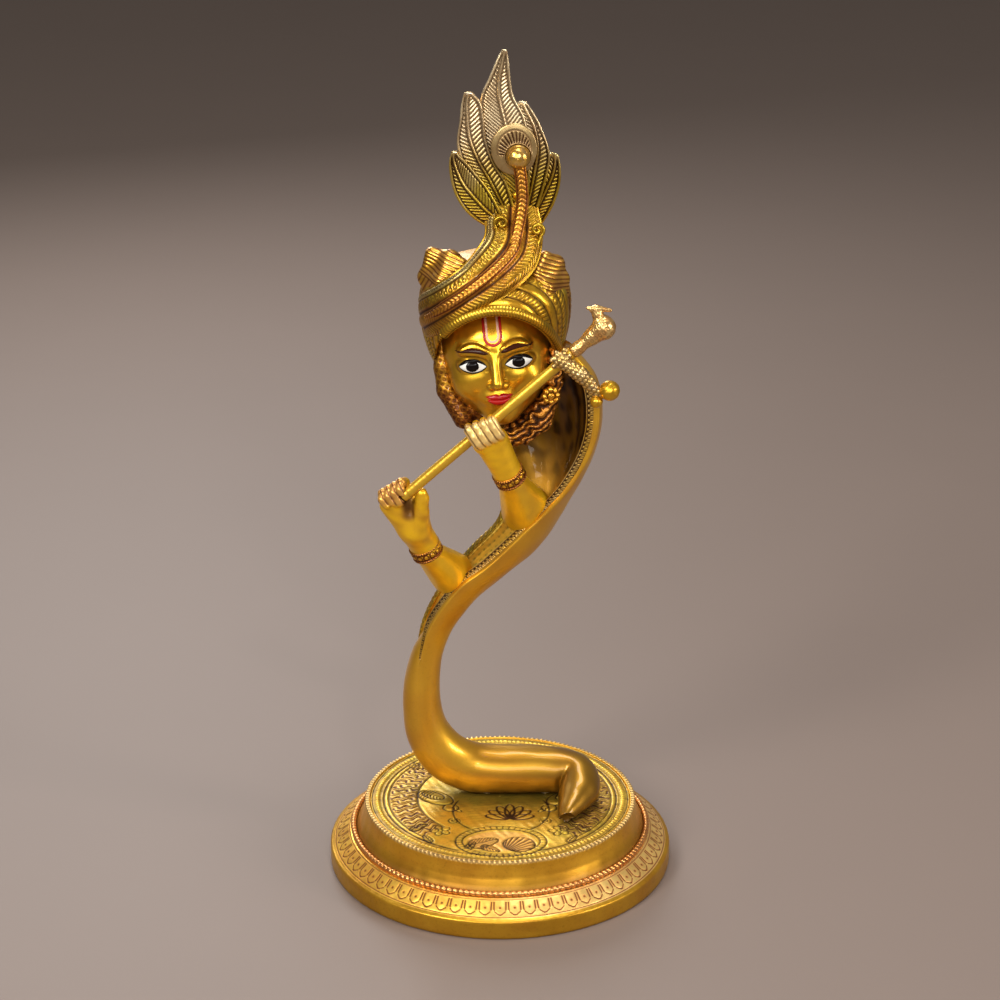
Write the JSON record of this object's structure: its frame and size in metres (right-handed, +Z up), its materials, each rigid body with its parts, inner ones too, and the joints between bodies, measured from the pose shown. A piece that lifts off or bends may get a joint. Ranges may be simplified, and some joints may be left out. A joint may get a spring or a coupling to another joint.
{
  "type": "hindu deity statue",
  "caption": "Antique brass flute-playing figure: turbaned head with feather crest and two forearms on an S-curved sash, on a round stepped base; the flute draws out.",
  "frame": {"origin": "centre of the round base, on the surface it stands on", "axes": "+Z up, -Y is the front that the face looks towards, +X to the right as seen from the front"},
  "size_m": [0.15, 0.15, 0.358],
  "materials": {
    "base_brass": "satin antique brass",
    "copper_tone": "brass toned copper red",
    "engraved_brass": "antique brass, engraved and toned green and brown in the cuts",
    "steel": "plain zinc-plated steel",
    "polished_brass": "polished brass with brown in the hollows",
    "white_enamel": "gloss enamel",
    "black_enamel": "gloss enamel",
    "brown_enamel": "gloss enamel",
    "red_enamel": "gloss enamel",
    "silvered_brass": "antique brass toned silver grey"
  },
  "bodies": {
    "root": {"plinth": "base_brass", "rope_ring": "copper_tone", "drum": "base_brass", "top_plate": "engraved_brass", "stud_pair": "steel", "washer_pair": "steel", "nut_pair": "steel", "body": "polished_brass", "right_border": "engraved_brass", "left_border": "engraved_brass", "lower_sleeve": "polished_brass", "lower_bangle": "copper_tone", "lower_hand": "polished_brass", "upper_sleeve": "polished_brass", "upper_bangle": "copper_tone", "upper_hand": "polished_brass", "head": "polished_brass", "head_dowel": "steel", "left_hair": "engraved_brass", "right_hair": "engraved_brass", "earring": "polished_brass", "eye_whites": "white_enamel", "irises": "black_enamel", "eyebrows": "brown_enamel", "lips": "red_enamel", "forehead_mark": "red_enamel", "turban": "engraved_brass", "sash": "engraved_brass", "brow_band": "engraved_brass", "left_fan": "copper_tone", "right_fan": "copper_tone", "crest_pin": "steel", "centre_feather": "silvered_brass", "left_upper_feather": "silvered_brass", "left_lower_feather": "silvered_brass", "right_upper_feather": "silvered_brass", "right_lower_feather": "silvered_brass", "eye_disc": "silvered_brass", "eye_boss": "polished_brass", "crest_stem": "copper_tone"},
    "flute": {"flute_tube": "polished_brass", "flute_bird": "polished_brass", "tassel": "engraved_brass", "tassel_balls": "polished_brass"}
  },
  "joints": [
    {"name": "flute_slide", "type": "slide", "parent": "root", "child": "flute", "axis": [0.7431, 0, 0.6691], "range_m": [0, 0.075]}
  ]
}
